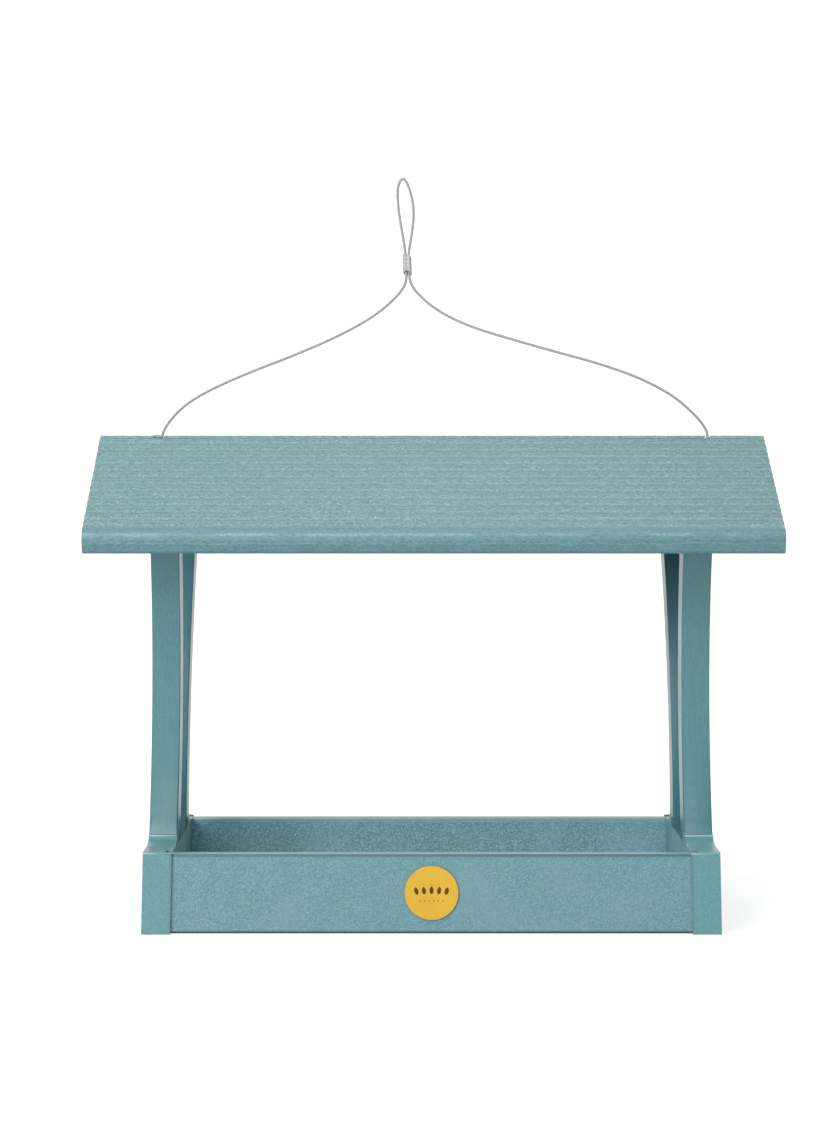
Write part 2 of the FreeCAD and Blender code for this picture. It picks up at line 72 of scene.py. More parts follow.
camera_data = bpy.data.cameras.new("camera")
camera_data.lens = LENS
camera_data.sensor_width = 36.0
camera_data.shift_x = SHIFT_X
camera_data.shift_y = SHIFT_Y
camera_data.clip_start = 0.05
camera_data.clip_end = 60.0
camera = bpy.data.objects.new("camera", camera_data)
camera.location = (CAMERA_X, -CAMERA_DISTANCE, CAMERA_HEIGHT)
camera.rotation_euler = (math.radians(90.0), 0.0, 0.0)
bpy.context.scene.collection.objects.link(camera)
bpy.context.scene.camera = camera


# ---------------------------------------------------------------- material helpers

class Graph:
    """A material's node graph with short calls for the nodes used here."""

    def __init__(self, name):
        self.material = bpy.data.materials.new(name)
        self.material.use_nodes = True
        self.nodes = self.material.node_tree.nodes
        self.links = self.material.node_tree.links
        self.shader = self.nodes["Principled BSDF"]
        self.coords = self.nodes.new("ShaderNodeTexCoord").outputs["Object"]

    def link(self, source, target):
        self.links.new(source, target)

    def set(self, **values):
        """Constants on the shader's own sockets; underscores stand for spaces."""
        for key, value in values.items():
            self.shader.inputs[key.replace("_", " ")].default_value = value

    def stretch(self, scale):
        """Object coordinates multiplied along each axis."""
        node = self.nodes.new("ShaderNodeMapping")
        node.inputs["Scale"].default_value = scale
        self.link(self.coords, node.inputs["Vector"])
        return node.outputs["Vector"]

    def noise(self, scale, detail=3.0, rough=0.5, vector=None, distortion=0.0):
        node = self.nodes.new("ShaderNodeTexNoise")
        node.inputs["Scale"].default_value = scale
        node.inputs["Detail"].default_value = detail
        node.inputs["Roughness"].default_value = rough
        node.inputs["Distortion"].default_value = distortion
        self.link(self.coords if vector is None else vector, node.inputs["Vector"])
        return node.outputs["Fac"]

    def voronoi(self, scale):
        node = self.nodes.new("ShaderNodeTexVoronoi")
        node.inputs["Scale"].default_value = scale
        self.link(self.coords, node.inputs["Vector"])
        return node.outputs["Distance"]

    def ramp(self, source, low, high, low_value=0.0, high_value=1.0):
        """Remaps a value between two limits, clamped."""
        node = self.nodes.new("ShaderNodeMapRange")
        node.inputs["From Min"].default_value = low
        node.inputs["From Max"].default_value = high
        node.inputs["To Min"].default_value = low_value
        node.inputs["To Max"].default_value = high_value
        self.link(source, node.inputs["Value"])
        return node.outputs["Result"]

    def math(self, kind, a, b):
        node = self.nodes.new("ShaderNodeMath")
        node.operation = kind
        for socket, value in zip(node.inputs, (a, b)):
            if isinstance(value, (int, float)):
                socket.default_value = value
            else:
                self.link(value, socket)
        return node.outputs["Value"]

    def times(self, a, b):
        return self.math("MULTIPLY", a, b)

    def plus(self, a, b):
        return self.math("ADD", a, b)

    def minus(self, a, b):
        return self.math("SUBTRACT", a, b)

    def absolute(self, a):
        return self.math("ABSOLUTE", a, 0.0)

    def axis(self, letter):
        """One object coordinate in metres."""
        node = self.nodes.new("ShaderNodeSeparateXYZ")
        self.link(self.coords, node.inputs["Vector"])
        return node.outputs[letter]

    def hump(self, source, centre, half_width):
        """One at the centre, falling to nothing half a width away."""
        return self.ramp(self.absolute(self.minus(source, centre)), 0.0, half_width, 1.0, 0.0)

    def mix(self, factor, a, b, kind="MIX"):
        """Colour mix; a and b are colours or outputs, factor a number or an output."""
        node = self.nodes.new("ShaderNodeMix")
        node.data_type = "RGBA"
        node.blend_type = kind
        for socket, value in ((node.inputs[0], factor), (node.inputs[6], a), (node.inputs[7], b)):
            if isinstance(value, (int, float)):
                socket.default_value = value
            elif isinstance(value, tuple):
                socket.default_value = (*value, 1.0)
            else:
                self.link(value, socket)
        return node.outputs[2]

    def bump(self, height, distance, strength):
        node = self.nodes.new("ShaderNodeBump")
        if isinstance(strength, float):
            node.inputs["Strength"].default_value = strength
        else:
            self.link(strength, node.inputs["Strength"])
        node.inputs["Distance"].default_value = distance
        self.link(height, node.inputs["Height"])
        return node.outputs["Normal"]

    def finish(self, colour, roughness, normal):
        for key, value in (("Base Color", colour), ("Roughness", roughness), ("Normal", normal)):
            self.link(value, self.shader.inputs[key])
        return self.material


def scaled(colour, factor):
    """A paler or darker version of a colour."""
    return tuple(factor * part for part in colour)


def give(obj, material):
    """One material for a CAD node."""
    obj.data.materials.clear()
    obj.data.materials.append(material)
    for face in obj.data.polygons:
        face.material_index = 0


# ---------------------------------------------------------------- roof boards

ROOF_RIBS = (0.126, 0.224, 0.233)
ROOF_SHADE = (0.070, 0.145, 0.154)
ROOF_PALE = (0.218, 0.318, 0.324)
ROOF_EDGE = (0.080, 0.180, 0.199)
ROOF_BAND = (0.086, 0.179, 0.193)
# Painted shade for the lower edge of the eave.
ROOF_UNDER_SHADE = (0.030, 0.080, 0.088)
BAND_TOP_Z = 267.3 * MM
CREST_Z = 262.5 * MM
EDGE_TOP_Z = 259.7 * MM
# Height of a painted highlight line on the eave face.
EAVE_HIGHLIGHT_Z = 256.7 * MM
UNDER_EDGE_Z = 251.2 * MM
RIDGE_Z = 327.5 * MM
ROOF_PITCH = math.radians(26.5)
RIB_PITCH = 10.12 * MM
FIRST_RIB = 10.10 * MM
RIB_FADE_X = (-50.0 * MM, 150.0 * MM)


def rib_colour(g, streak, fleck):
    """Brushed ribs: painted highlight makes the crests and the valleys a little paler than the slopes
    between them.
    """
    pore = g.noise(1.0, detail=1.0, vector=g.stretch((480.0, 1050.0, 1050.0)))
    cloud = g.noise(11.0, detail=2.0)
    colour = g.mix(g.ramp(streak, 0.41, 0.60), ROOF_SHADE, ROOF_RIBS)
    colour = g.mix(g.ramp(fleck, 0.52, 0.62, 0.0, 0.95), colour, ROOF_PALE)
    colour = g.mix(g.ramp(pore, 0.53, 0.61, 0.0, 0.85), colour, ROOF_SHADE)
    colour = g.mix(g.ramp(cloud, 0.35, 0.70, 0.0, 0.20), colour, ROOF_BAND)
    down_slope = g.plus(g.times(g.absolute(g.axis("Y")), math.cos(ROOF_PITCH)),
                        g.times(g.minus(RIDGE_Z, g.axis("Z")), math.sin(ROOF_PITCH)))
    ribs_down = g.math("DIVIDE", g.minus(down_slope, FIRST_RIB - 0.5 * RIB_PITCH), RIB_PITCH)
    phase = g.math("FRACT", ribs_down, 0.0)
    # Painted highlight along the rib crests, stronger towards the right end of the roof.
    crest_highlight = g.hump(phase, 0.5, 0.16)
    colour = g.mix(g.times(crest_highlight, g.ramp(g.axis("X"), *RIB_FADE_X, 0.18, 0.24)), colour, ROOF_PALE)
    # Painted highlight along the rib valleys, stronger towards the left end of the roof.
    valley_highlight = g.hump(g.absolute(g.minus(phase, 0.5)), 0.5, 0.24)
    return g.mix(g.times(valley_highlight, g.ramp(g.axis("X"), *RIB_FADE_X, 0.26, 0.18)), colour, ROOF_PALE)


def eave_colour(g, streak, fleck):
    """Smooth band and rounded nose below the ribs, with a broken painted highlight along the bend of the
    nose, a faint painted highlight line across the eave face and painted shade along its lower edge.
    """
    grit = g.ramp(g.plus(g.times(fleck, 0.5), g.times(streak, 0.5)), 0.36, 0.62)
    band = g.mix(grit, scaled(ROOF_BAND, 0.80), scaled(ROOF_BAND, 1.16))
    edge = g.mix(grit, scaled(ROOF_EDGE, 0.74), scaled(ROOF_EDGE, 1.20))
    wave = g.times(g.minus(g.noise(38.0, detail=3.0, rough=0.6), 0.5), 2.2 * MM)
    wavy_z = g.plus(g.axis("Z"), wave)
    # Painted highlight: a faint broken pale line across the eave face.
    line = g.times(g.hump(wavy_z, EAVE_HIGHLIGHT_Z, 0.9 * MM), g.ramp(streak, 0.35, 0.60, 0.15, 0.45))
    edge = g.mix(line, edge, ROOF_PALE)
    # Painted shade along the lower edge of the eave, where it turns under.
    under_edge_shade = g.ramp(g.axis("Z"), UNDER_EDGE_Z, UNDER_EDGE_Z + 1.0 * MM, 0.45, 0.0)
    edge = g.mix(under_edge_shade, edge, ROOF_UNDER_SHADE)
    colour = g.mix(g.ramp(wavy_z, EDGE_TOP_Z, EDGE_TOP_Z + 2.2 * MM), edge, band)
    # Painted highlight in broken patches along the bend of the nose.
    long_patches = g.noise(1.0, detail=3.0, vector=g.stretch((32.0, 60.0, 60.0)))
    patchy_highlight = g.ramp(long_patches, 0.43, 0.56, 0.04, 0.62)
    patchy_highlight = g.times(patchy_highlight, g.ramp(fleck, 0.35, 0.60, 0.35, 1.0))
    return g.mix(g.times(g.hump(wavy_z, CREST_Z, 1.4 * MM), patchy_highlight), colour, ROOF_PALE)


def roof_plastic():
    """Ribbed board, brushed along the ridge in short broken streaks; its eave is smoother and darker."""
    g = Graph("roof_plastic")
    streak = g.noise(1.0, detail=2.5, rough=0.55, vector=g.stretch((290.0, 860.0, 860.0)), distortion=0.4)
    fleck = g.noise(1.0, detail=1.5, rough=0.5, vector=g.stretch((640.0, 1150.0, 1150.0)))
    ribbed = g.ramp(g.axis("Z"), BAND_TOP_Z - 0.6 * MM, BAND_TOP_Z + 0.4 * MM)
    colour = g.mix(ribbed, eave_colour(g, streak, fleck), rib_colour(g, streak, fleck))
    height = g.plus(g.times(streak, 0.6), g.times(fleck, 0.4))
    g.set(Specular_IOR_Level=0.4)
    return g.finish(colour, g.ramp(streak, 0.3, 0.7, 0.62, 0.48), g.bump(height, 0.7 * MM, 0.5))


# ---------------------------------------------------------------- tray boards

TRAY_DARK = (0.058, 0.148, 0.172)
TRAY_MID = (0.103, 0.214, 0.239)
TRAY_PALE = (0.194, 0.320, 0.342)
TRAY_BLUE = (0.112, 0.214, 0.256)
# Painted shade for the outer top rim and its bend, and painted shadow along the bottom edge:
TRAY_RIM_SHADE = (0.046, 0.126, 0.140)
TRAY_BEND_SHADE = (0.034, 0.098, 0.110)
TRAY_FOOT_SHADOW = (0.020, 0.045, 0.050)
# Painted highlights for the top face and for the top of the inner face:
LIP_HIGHLIGHT = (0.134, 0.252, 0.274)
INNER_TOP_HIGHLIGHT = (0.300, 0.400, 0.420)
TRAY_TOP_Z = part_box("tray_board_front")[1].z
TRAY_OUTER_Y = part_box("tray_board_back")[1].y
LIP_Z = TRAY_TOP_Z - 0.04 * MM
BEND_Z = TRAY_TOP_Z - 0.8 * MM
RIM_BAND_Z = TRAY_TOP_Z - 2.1 * MM
INNER_HIGHLIGHT_Z = TRAY_TOP_Z - 1.3 * MM
CALM_Z = TRAY_TOP_Z - 3.4 * MM
FOOT_BAND_Z = 2.6 * MM
RIM_OUTER_Y = TRAY_OUTER_Y - 1.5 * MM
INDOORS_Y = TRAY_OUTER_Y - 6.5 * MM
# Painted light towards the left end of the inner face:
LEFT_END_X = (-175.0 * MM, -110.0 * MM)
LEFT_END_LIGHT_GAIN = 2.0


def pebble_colour(g, pebble, coarse, tones):
    """Fine dark pits and pale grains with bluer clouds; tones are dark, middle, pale and blue."""
    dark, middle, pale, blue = tones
    pit = g.voronoi(1000.0)
    cloud = g.noise(26.0, detail=2.0)
    colour = g.mix(g.ramp(pebble, 0.40, 0.58), dark, middle)
    colour = g.mix(g.ramp(pebble, 0.55, 0.72, 0.0, 0.62), colour, pale)
    colour = g.mix(g.ramp(pit, 0.0, 0.35, 0.42, 0.0), colour, dark)
    colour = g.mix(g.ramp(coarse, 0.35, 0.70, 0.0, 0.35), colour, middle)
    return g.mix(g.ramp(cloud, 0.45, 0.70, 0.0, 0.45), colour, blue)


def tray_plastic(name, gain, dark_gain, pale_gain, left_end=0.0):
    """Moulded board skin: a fine pebble that stops short of a smooth rim along the top edge; that rim
    carries painted shade on the outer face, the top face and the top of the inner face carry painted
    highlight, and painted shadow runs along the bottom.

    The gains scale all tones, the dark ones and the pale ones; left_end is how much painted light the inner
    face gets at its left end.
    """
    g = Graph(name)
    middle = scaled(TRAY_MID, gain)
    tones = (scaled(TRAY_DARK, dark_gain * gain), middle,
             scaled(TRAY_PALE, pale_gain * gain), scaled(TRAY_BLUE, gain))
    pebble = g.noise(1.0, detail=2.0, rough=0.6, vector=g.stretch((1050.0, 1350.0, 1250.0)))
    coarse = g.noise(330.0, detail=2.0, rough=0.5)
    z = g.axis("Z")
    wavy_z = g.plus(z, g.times(g.minus(coarse, 0.5), 0.8 * MM))
    from_middle = g.absolute(g.axis("Y"))
    indoors = g.ramp(from_middle, INDOORS_Y, INDOORS_Y + 1.0 * MM, 1.0, 0.0)
    outdoors = g.ramp(from_middle, RIM_OUTER_Y - 0.6 * MM, RIM_OUTER_Y)
    colour = pebble_colour(g, pebble, coarse, tones)
    colour = g.mix(g.times(g.ramp(wavy_z, CALM_Z, CALM_Z + 0.8 * MM, 0.0, 0.62), indoors), colour, middle)
    # Painted highlight along the top of the inner face, where its rounded edge meets the light.
    colour = g.mix(g.times(g.ramp(z, INNER_HIGHLIGHT_Z, LIP_Z), indoors), colour, INNER_TOP_HIGHLIGHT)
    # Painted light: the inner face grows lighter towards its left end.
    painted_light_end = g.times(g.ramp(g.axis("X"), *LEFT_END_X, left_end, 0.0), indoors)
    colour = g.mix(painted_light_end, colour, 3 * (LEFT_END_LIGHT_GAIN,), kind="MULTIPLY")
    # Painted shade on a band below the outer top edge.
    rim = g.ramp(wavy_z, RIM_BAND_Z, RIM_BAND_Z + 0.5 * MM)
    colour = g.mix(g.times(rim, outdoors), colour, TRAY_RIM_SHADE)
    # Painted shade on the bend of the outer top edge, dulling the light it catches.
    bend = g.times(g.ramp(z, BEND_Z, BEND_Z + 0.4 * MM), outdoors)
    colour = g.mix(bend, colour, TRAY_BEND_SHADE)
    # Painted highlight on the narrow top face of the board.
    colour = g.mix(g.ramp(z, LIP_Z - 0.1 * MM, LIP_Z), colour, scaled(LIP_HIGHLIGHT, gain))
    # Painted contact shadow along the bottom edge of the board.
    colour = g.mix(g.ramp(z, 0.6 * FOOT_BAND_Z, FOOT_BAND_Z, 1.0, 0.0), colour, TRAY_FOOT_SHADOW)
    pebble_strength = g.ramp(wavy_z, RIM_BAND_Z, RIM_BAND_Z + 0.5 * MM, 0.5, 0.05)
    g.set(Specular_IOR_Level=0.45)
    roughness = g.math("MAXIMUM", g.ramp(pebble, 0.3, 0.7, 0.52, 0.40), g.times(bend, 0.85))
    return g.finish(colour, roughness, g.bump(pebble, 0.4 * MM, pebble_strength))


# ---------------------------------------------------------------- end frames

FRAME_MID = (0.0525, 0.158, 0.174)
FRAME_PALE = (0.063, 0.174, 0.193)
FRAME_BLUE = (0.055, 0.155, 0.183)
# Painted shade for the legs, their feet and the saddle:
FRAME_SHADE = (0.008, 0.072, 0.082)
LEG_FOOT_SHADE_TONE = (0.000, 0.092, 0.110)
# Painted highlight for the ledge corners and the block's top edge:
HIGHLIGHT_PALE = (0.345, 0.440, 0.455)
BLOCK_PALE = (0.0865, 0.214, 0.233)
# Painted light on the cove between block and leg, palest low down:
COVE_HIGH = (0.080, 0.213, 0.240)
COVE_LOW = (0.115, 0.240, 0.258)
# Painted light and painted shade near the tops of the rear legs, left and right:
GABLE_LEFT_LIT = (0.095, 0.215, 0.235)
GABLE_RIGHT_SHADE = (0.016, 0.020, 0.022)
# Painted light on the inner sides of the blocks, stronger on the left frame:
INNER_LEFT_LIT = (0.185, 0.375, 0.360)
INNER_RIGHT_LIT = (0.118, 0.268, 0.314)
INNER_SHADE = (0.063, 0.150, 0.166)
LEDGE_LINE_Z = 59.2 * MM
LEDGE_LINE_Y = 60.6 * MM
BLOCK_LINE_Z = 53.3 * MM
COVE_MIDDLE_Z = (54.0 * MM, 57.5 * MM)
LEG_FOOT_Z = 68.0 * MM
LEG_FOOT_TOP_Z = 145.0 * MM
SADDLE_Y = 46.0 * MM
SADDLE_Z = 59.0 * MM
STRIP_Y = 103.8 * MM
FRAME_MIDDLE_X = 0.5 * (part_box("end_frame_left")[0].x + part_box("end_frame_right")[1].x)
INNER_SIDE_X = 172.0 * MM
OUTER_SIDE_X = 188.5 * MM


def planed_colour(g, line, cloud, speck):
    """Faint lines along the grain, bluer clouds and a few pale and dark specks."""
    colour = g.mix(g.ramp(line, 0.40, 0.60), FRAME_MID, FRAME_PALE)
    colour = g.mix(g.ramp(cloud, 0.40, 0.70, 0.0, 0.55), colour, FRAME_BLUE)
    colour = g.mix(g.ramp(speck, 0.58, 0.74, 0.0, 0.45), colour, scaled(FRAME_PALE, 1.35))
    return g.mix(g.ramp(speck, 0.42, 0.26, 0.0, 0.45), colour, scaled(FRAME_MID, 0.65))


def leg_colour(g, colour, right):
    """Painted shade on the legs, deepening towards their feet and near their tops under the roof, and
    painted light near the top of the rear left leg; right is 0 to 1 across the feeder.
    """
    z = g.axis("Z")
    # Painted shade low on the legs, deepest a little above the ledge and fading up the leg.
    foot_shade = g.ramp(z, LEG_FOOT_Z, LEG_FOOT_TOP_Z, 0.44, 0.0)
    foot_shade = g.times(foot_shade, g.ramp(z, LEDGE_LINE_Z, LEG_FOOT_Z, 0.25, 1.0))
    above_ledge = g.ramp(z, LEDGE_LINE_Z, LEDGE_LINE_Z + 1.0 * MM)
    colour = g.mix(g.times(foot_shade, above_ledge), colour, LEG_FOOT_SHADE_TONE)
    # Painted shade near the tops of the front legs, under the eave.
    front = g.ramp(g.axis("Y"), -20.0 * MM, 20.0 * MM, 1.0, 0.0)
    front_top_shade = g.times(g.ramp(z, 205.0 * MM, 250.0 * MM, 0.0, 0.24), front)
    colour = g.mix(front_top_shade, colour, FRAME_SHADE)
    # Painted shade near the top of the right end frame.
    right_top_shade = g.times(right, g.ramp(z, 165.0 * MM, 210.0 * MM, 0.0, 0.10))
    colour = g.mix(right_top_shade, colour, FRAME_SHADE)
    # Painted light near the top of the rear left leg and painted shade near the top of the rear right leg,
    # under the roof.
    rear_top_light_and_shade = g.times(g.ramp(z, 195.0 * MM, 250.0 * MM), g.ramp(g.axis("Y"), 0.0, 20.0 * MM))
    return g.mix(g.times(rear_top_light_and_shade, 0.60), colour, g.mix(right, GABLE_LEFT_LIT, GABLE_RIGHT_SHADE))


def block_colour(g, colour, speck, right, from_middle):
    """Paler, grainier base block; its inner side, which faces the tray, is paler still with painted light.
    """
    block = g.ramp(g.axis("Z"), BLOCK_LINE_Z - 1.0 * MM, BLOCK_LINE_Z, 1.0, 0.0)
    colour = g.mix(g.times(block, 0.5), colour, BLOCK_PALE)
    pale_grain = g.times(block, g.ramp(speck, 0.54, 0.68, 0.0, 0.36))
    colour = g.mix(pale_grain, colour, scaled(BLOCK_PALE, 1.30))
    dark_grain = g.times(block, g.ramp(speck, 0.46, 0.34, 0.0, 0.36))
    colour = g.mix(dark_grain, colour, scaled(BLOCK_PALE, 0.72))
    # Painted light on the block's inner side, which faces the tray: stronger on the left frame than on the
    # right, except on a narrow strip by the board.
    inner_side = g.ramp(from_middle, INNER_SIDE_X, INNER_SIDE_X + 0.6 * MM, 0.75, 0.0)
    strip = g.ramp(g.absolute(g.axis("Y")), STRIP_Y - 0.4 * MM, STRIP_Y)
    inner = g.mix(strip, g.mix(right, INNER_LEFT_LIT, INNER_RIGHT_LIT), INNER_SHADE)
    return g.mix(g.times(inner_side, block), colour, inner)


def frame_plastic(name):
    """Planed board edge: smooth satin with faint lines along the leg and a painted highlight along the
    ledge corners; painted light and shade lie on the legs, the saddle, the cove and the block's inner side.
    """
    g = Graph(name)
    line = g.noise(1.0, detail=3.0, rough=0.6, vector=g.stretch((520.0, 520.0, 9.0)))
    cloud = g.noise(22.0, detail=3.0)
    speck = g.noise(900.0, detail=1.0)
    z = g.axis("Z")
    right = g.ramp(g.axis("X"), -50.0 * MM, 50.0 * MM)
    from_middle = g.absolute(g.minus(g.axis("X"), FRAME_MIDDLE_X))
    off_ridge = g.absolute(g.axis("Y"))
    colour = leg_colour(g, planed_colour(g, line, cloud, speck), right)

    # Painted shade on the saddle between the legs, just above the block; the same place is made rougher.
    between_legs = g.ramp(off_ridge, SADDLE_Y - 4.0 * MM, SADDLE_Y, 1.0, 0.0)
    saddle = g.times(between_legs, g.ramp(z, SADDLE_Z, SADDLE_Z + 3.0 * MM, 0.7, 0.0))
    saddle = g.times(saddle, g.ramp(from_middle, OUTER_SIDE_X - 1.5 * MM, OUTER_SIDE_X, 1.0, 0.0))
    saddle_top = g.ramp(z, BLOCK_LINE_Z - 0.6 * MM, BLOCK_LINE_Z)
    colour = g.mix(g.times(saddle, saddle_top), colour, FRAME_SHADE)
    colour = block_colour(g, colour, speck, right, from_middle)

    # Painted light on the cove between block and leg, palest low down where the cove turns up.
    cove_low = g.ramp(z, BLOCK_LINE_Z, BLOCK_LINE_Z + 0.3 * MM)
    cove = g.times(cove_low, g.ramp(z, LEDGE_LINE_Z - 0.4 * MM, LEDGE_LINE_Z, 1.0, 0.0))
    cove_painted_light = g.mix(g.ramp(z, *COVE_MIDDLE_Z), COVE_LOW, COVE_HIGH)
    colour = g.mix(g.times(cove, g.minus(1.0, between_legs)), colour, cove_painted_light)

    # Painted highlight along the ledge corners and, fainter, along the block's top edge.
    wavy_z = g.plus(z, g.times(g.minus(cloud, 0.5), 1.0 * MM))
    outdoors = g.ramp(off_ridge, LEDGE_LINE_Y - 0.6 * MM, LEDGE_LINE_Y)
    ledge = g.times(g.hump(wavy_z, LEDGE_LINE_Z, 0.8 * MM), outdoors)
    block_line = g.times(g.times(g.hump(wavy_z, BLOCK_LINE_Z, 0.4 * MM), outdoors), 0.45)
    ledge_and_block_highlight = g.times(g.math("MAXIMUM", ledge, block_line), g.ramp(speck, 0.30, 0.60, 0.6, 1.0))
    colour = g.mix(ledge_and_block_highlight, colour, HIGHLIGHT_PALE)
    g.set(Specular_IOR_Level=0.5)
    roughness = g.math("MAXIMUM", g.ramp(cloud, 0.3, 0.7, 0.30, 0.38), g.times(saddle, 1.3))
    return g.finish(colour, roughness, g.bump(line, 0.3 * MM, 0.25))


# ---------------------------------------------------------------- metal and badge

PAN_DULL = (0.80, 0.81, 0.82)
PAN_BRIGHT = (0.92, 0.93, 0.94)


def sheet_metal():
    """Mill-finish aluminium with rolling lines and small scratches."""
    g = Graph("pan_metal")
    rolled = g.noise(1.0, detail=4.0, rough=0.6, vector=g.stretch((10.0, 700.0, 700.0)))
    scratch = g.noise(1.0, detail=2.0, rough=0.5, vector=g.stretch((300.0, 24.0, 300.0)))
    colour = g.mix(g.ramp(rolled, 0.3, 0.7), PAN_DULL, PAN_BRIGHT)
    g.set(Metallic=1.0)
    return g.finish(colour, g.ramp(scratch, 0.35, 0.75, 0.30, 0.48), g.bump(rolled, 0.2 * MM, 0.3))


def steel(name, tone, rough, grain=500.0, metal=1.0):
    """Plain metal hardware with a light tumbled grain."""
    g = Graph(name)
    dull = g.noise(grain, detail=3.0)
    colour = g.mix(g.ramp(dull, 0.35, 0.70), scaled(tone, 0.82), tone)
    g.set(Metallic=metal)
    return g.finish(colour, g.ramp(dull, 0.3, 0.7, rough - 0.06, rough + 0.10), g.bump(dull, 0.1 * MM, 0.3))


BADGE_LIGHT = (0.478, 0.312, 0.024)
BADGE_DEEP = (0.478, 0.272, 0.026)
RING_LIGHT = (0.476, 0.354, 0.082)
RING_DEEP = (0.449, 0.326, 0.068)
BADGE_EDGE_LIGHT = (0.300, 0.190, 0.050)
BADGE_EDGE_DEEP = (0.220, 0.140, 0.040)
SEED_LIGHT = (0.075, 0.034, 0.006)
SEED_DEEP = (0.060, 0.026, 0.005)
DOT_LIGHT = (0.250, 0.135, 0.020)
DOT_DEEP = (0.200, 0.105, 0.015)


def badge_plastic(name, light, deep, rough):
    """Printed plastic with a slight mottle."""
    g = Graph(name)
    cloud = g.noise(85.0, detail=3.0)
    fine = g.noise(700.0, detail=2.0)
    colour = g.mix(g.ramp(cloud, 0.30, 0.70), deep, light)
    g.set(Specular_IOR_Level=0.20)
    return g.finish(colour, g.ramp(fine, 0.3, 0.7, rough, rough + 0.08), g.bump(fine, 0.1 * MM, 0.15))


ROOF = roof_plastic()
TRAY = tray_plastic("tray_plastic", 1.0, 1.05, 0.98)
# Lit copy of the board plastic for the back board: its tones are about 1.3 times as light, which is painted
# light, with a little more contrast and painted light at its left end.
TRAY_BACK_LIT = tray_plastic("tray_back_painted_light", 1.32, 0.80, 1.30, left_end=0.78)
FRAME = frame_plastic("frame_plastic")
RAIL = frame_plastic("rail_plastic")
PAN = sheet_metal()
SCREW = steel("screw_steel", (0.62, 0.62, 0.62), 0.26)
LUG = steel("lug_metal", (0.66, 0.66, 0.65), 0.30)
ROPE = steel("wire_rope", (0.345, 0.347, 0.350), 0.55, grain=1600.0, metal=0.35)
SLEEVE = steel("sleeve_metal", (0.375, 0.377, 0.364), 0.55, grain=900.0, metal=0.40)
BADGE = badge_plastic("badge_yellow", BADGE_LIGHT, BADGE_DEEP, 0.42)
BADGE_RING = badge_plastic("badge_rim", RING_LIGHT, RING_DEEP, 0.30)
BADGE_EDGE = badge_plastic("badge_edge_ochre", BADGE_EDGE_LIGHT, BADGE_EDGE_DEEP, 0.40)
BADGE_SEED = badge_plastic("badge_mark", SEED_LIGHT, SEED_DEEP, 0.50)
BADGE_DOT = badge_plastic("badge_mark_pale", DOT_LIGHT, DOT_DEEP, 0.50)

LOOKS_BY_NAME = {
    "end_frame": FRAME, "tray_board_front": TRAY, "tray_board_back": TRAY_BACK_LIT, "roof_board": ROOF,
    "floor_pan": PAN, "floor_rail": RAIL, "cable_lug": LUG, "lug_washer": LUG,
}


def look_of(node_name):
    """Material by the start of a node's name; what isn't listed is a screw or is replaced below."""
    for start, look in LOOKS_BY_NAME.items():
        if node_name.startswith(start):
            return look
    return SCREW


for node_name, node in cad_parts.items():
    give(node, look_of(node_name))


# ---------------------------------------------------------------- mesh helpers

def new_object(name, vertices, faces, material):
    """Smooth-shaded mesh object in the scene."""
    mesh = bpy.data.meshes.new(name)
    mesh.from_pydata([tuple(v) for v in vertices], [], faces)
    mesh.materials.append(material)
    mesh.validate()
    for face in mesh.polygons:
        face.use_smooth = True
    obj = bpy.data.objects.new(name, mesh)
    bpy.context.scene.collection.objects.link(obj)
    return obj


def new_piece(name, vertices, faces, material):
    """Mesh object that rides on the feeder."""
    piece = new_object(name, vertices, faces, material)
    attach(piece, BODY)
    return piece


def soften(obj, width):
    """Rounds sharp edges a little and keeps flat faces flat."""
    weld = obj.modifiers.new("weld", "WELD")
    weld.merge_threshold = 0.001 * MM
    bevel = obj.modifiers.new("bevel", "BEVEL")
    bevel.width = width
    bevel.segments = 2
    bevel.limit_method = "ANGLE"
    bevel.angle_limit = math.radians(35.0)
    bevel.harden_normals = True
    bevel.use_clamp_overlap = True


def apply_modifiers(obj):
    """Bakes an object's modifiers into its mesh."""
    graph = bpy.context.evaluated_depsgraph_get()
    graph.update()
    mesh = bpy.data.meshes.new_from_object(obj.evaluated_get(graph))
    obj.modifiers.clear()
    obj.data = mesh


# ---------------------------------------------------------------- hanging cable

CABLE_DIAMETER = 2.0 * MM
CABLE_ROUTE_MM = [
    (-187.85, 299.0), (-187.8, 305.6), (-187.2, 313.0), (-187.1, 326.0), (-182.5, 336.0),
    (-170.5, 348.8), (-152.5, 359.4), (-126.0, 371.0), (-96.0, 382.4), (-66.0, 395.3),
    (-42.0, 408.3), (-27.0, 420.4), (-19.5, 429.3), (-17.8, 434.3), (-17.79, 438.7),
    (-18.02, 446.0), (-18.4, 454.0), (-19.9, 464.0), (-22.1, 475.5), (-23.5, 487.0),
    (-23.8, 495.5), (-23.0, 501.6), (-20.1, 505.6), (-17.2, 501.6), (-15.1, 496.0),
    (-13.2, 488.5), (-12.5, 478.5), (-14.1, 466.0), (-16.2, 454.0), (-15.98, 446.0),
    (-15.75, 438.7), (-15.5, 434.6), (-12.2, 427.3), (2.0, 414.4), (24.0, 403.3),
    (52.0, 394.6), (84.0, 385.6), (116.0, 376.9), (144.0, 367.0), (166.5, 355.0),
    (181.3, 341.8), (187.2, 334.6), (190.8, 327.6), (187.1, 311.5), (185.25, 305.0),
    (185.2, 299.0),
]
STRANDS = 6
STRAND_SIDES = 7
STRAND_RADIUS = 0.335 * MM
LAY_RADIUS = 0.66 * MM
LAY_LENGTH = 11.0 * MM
RINGS_PER_LAY = 12


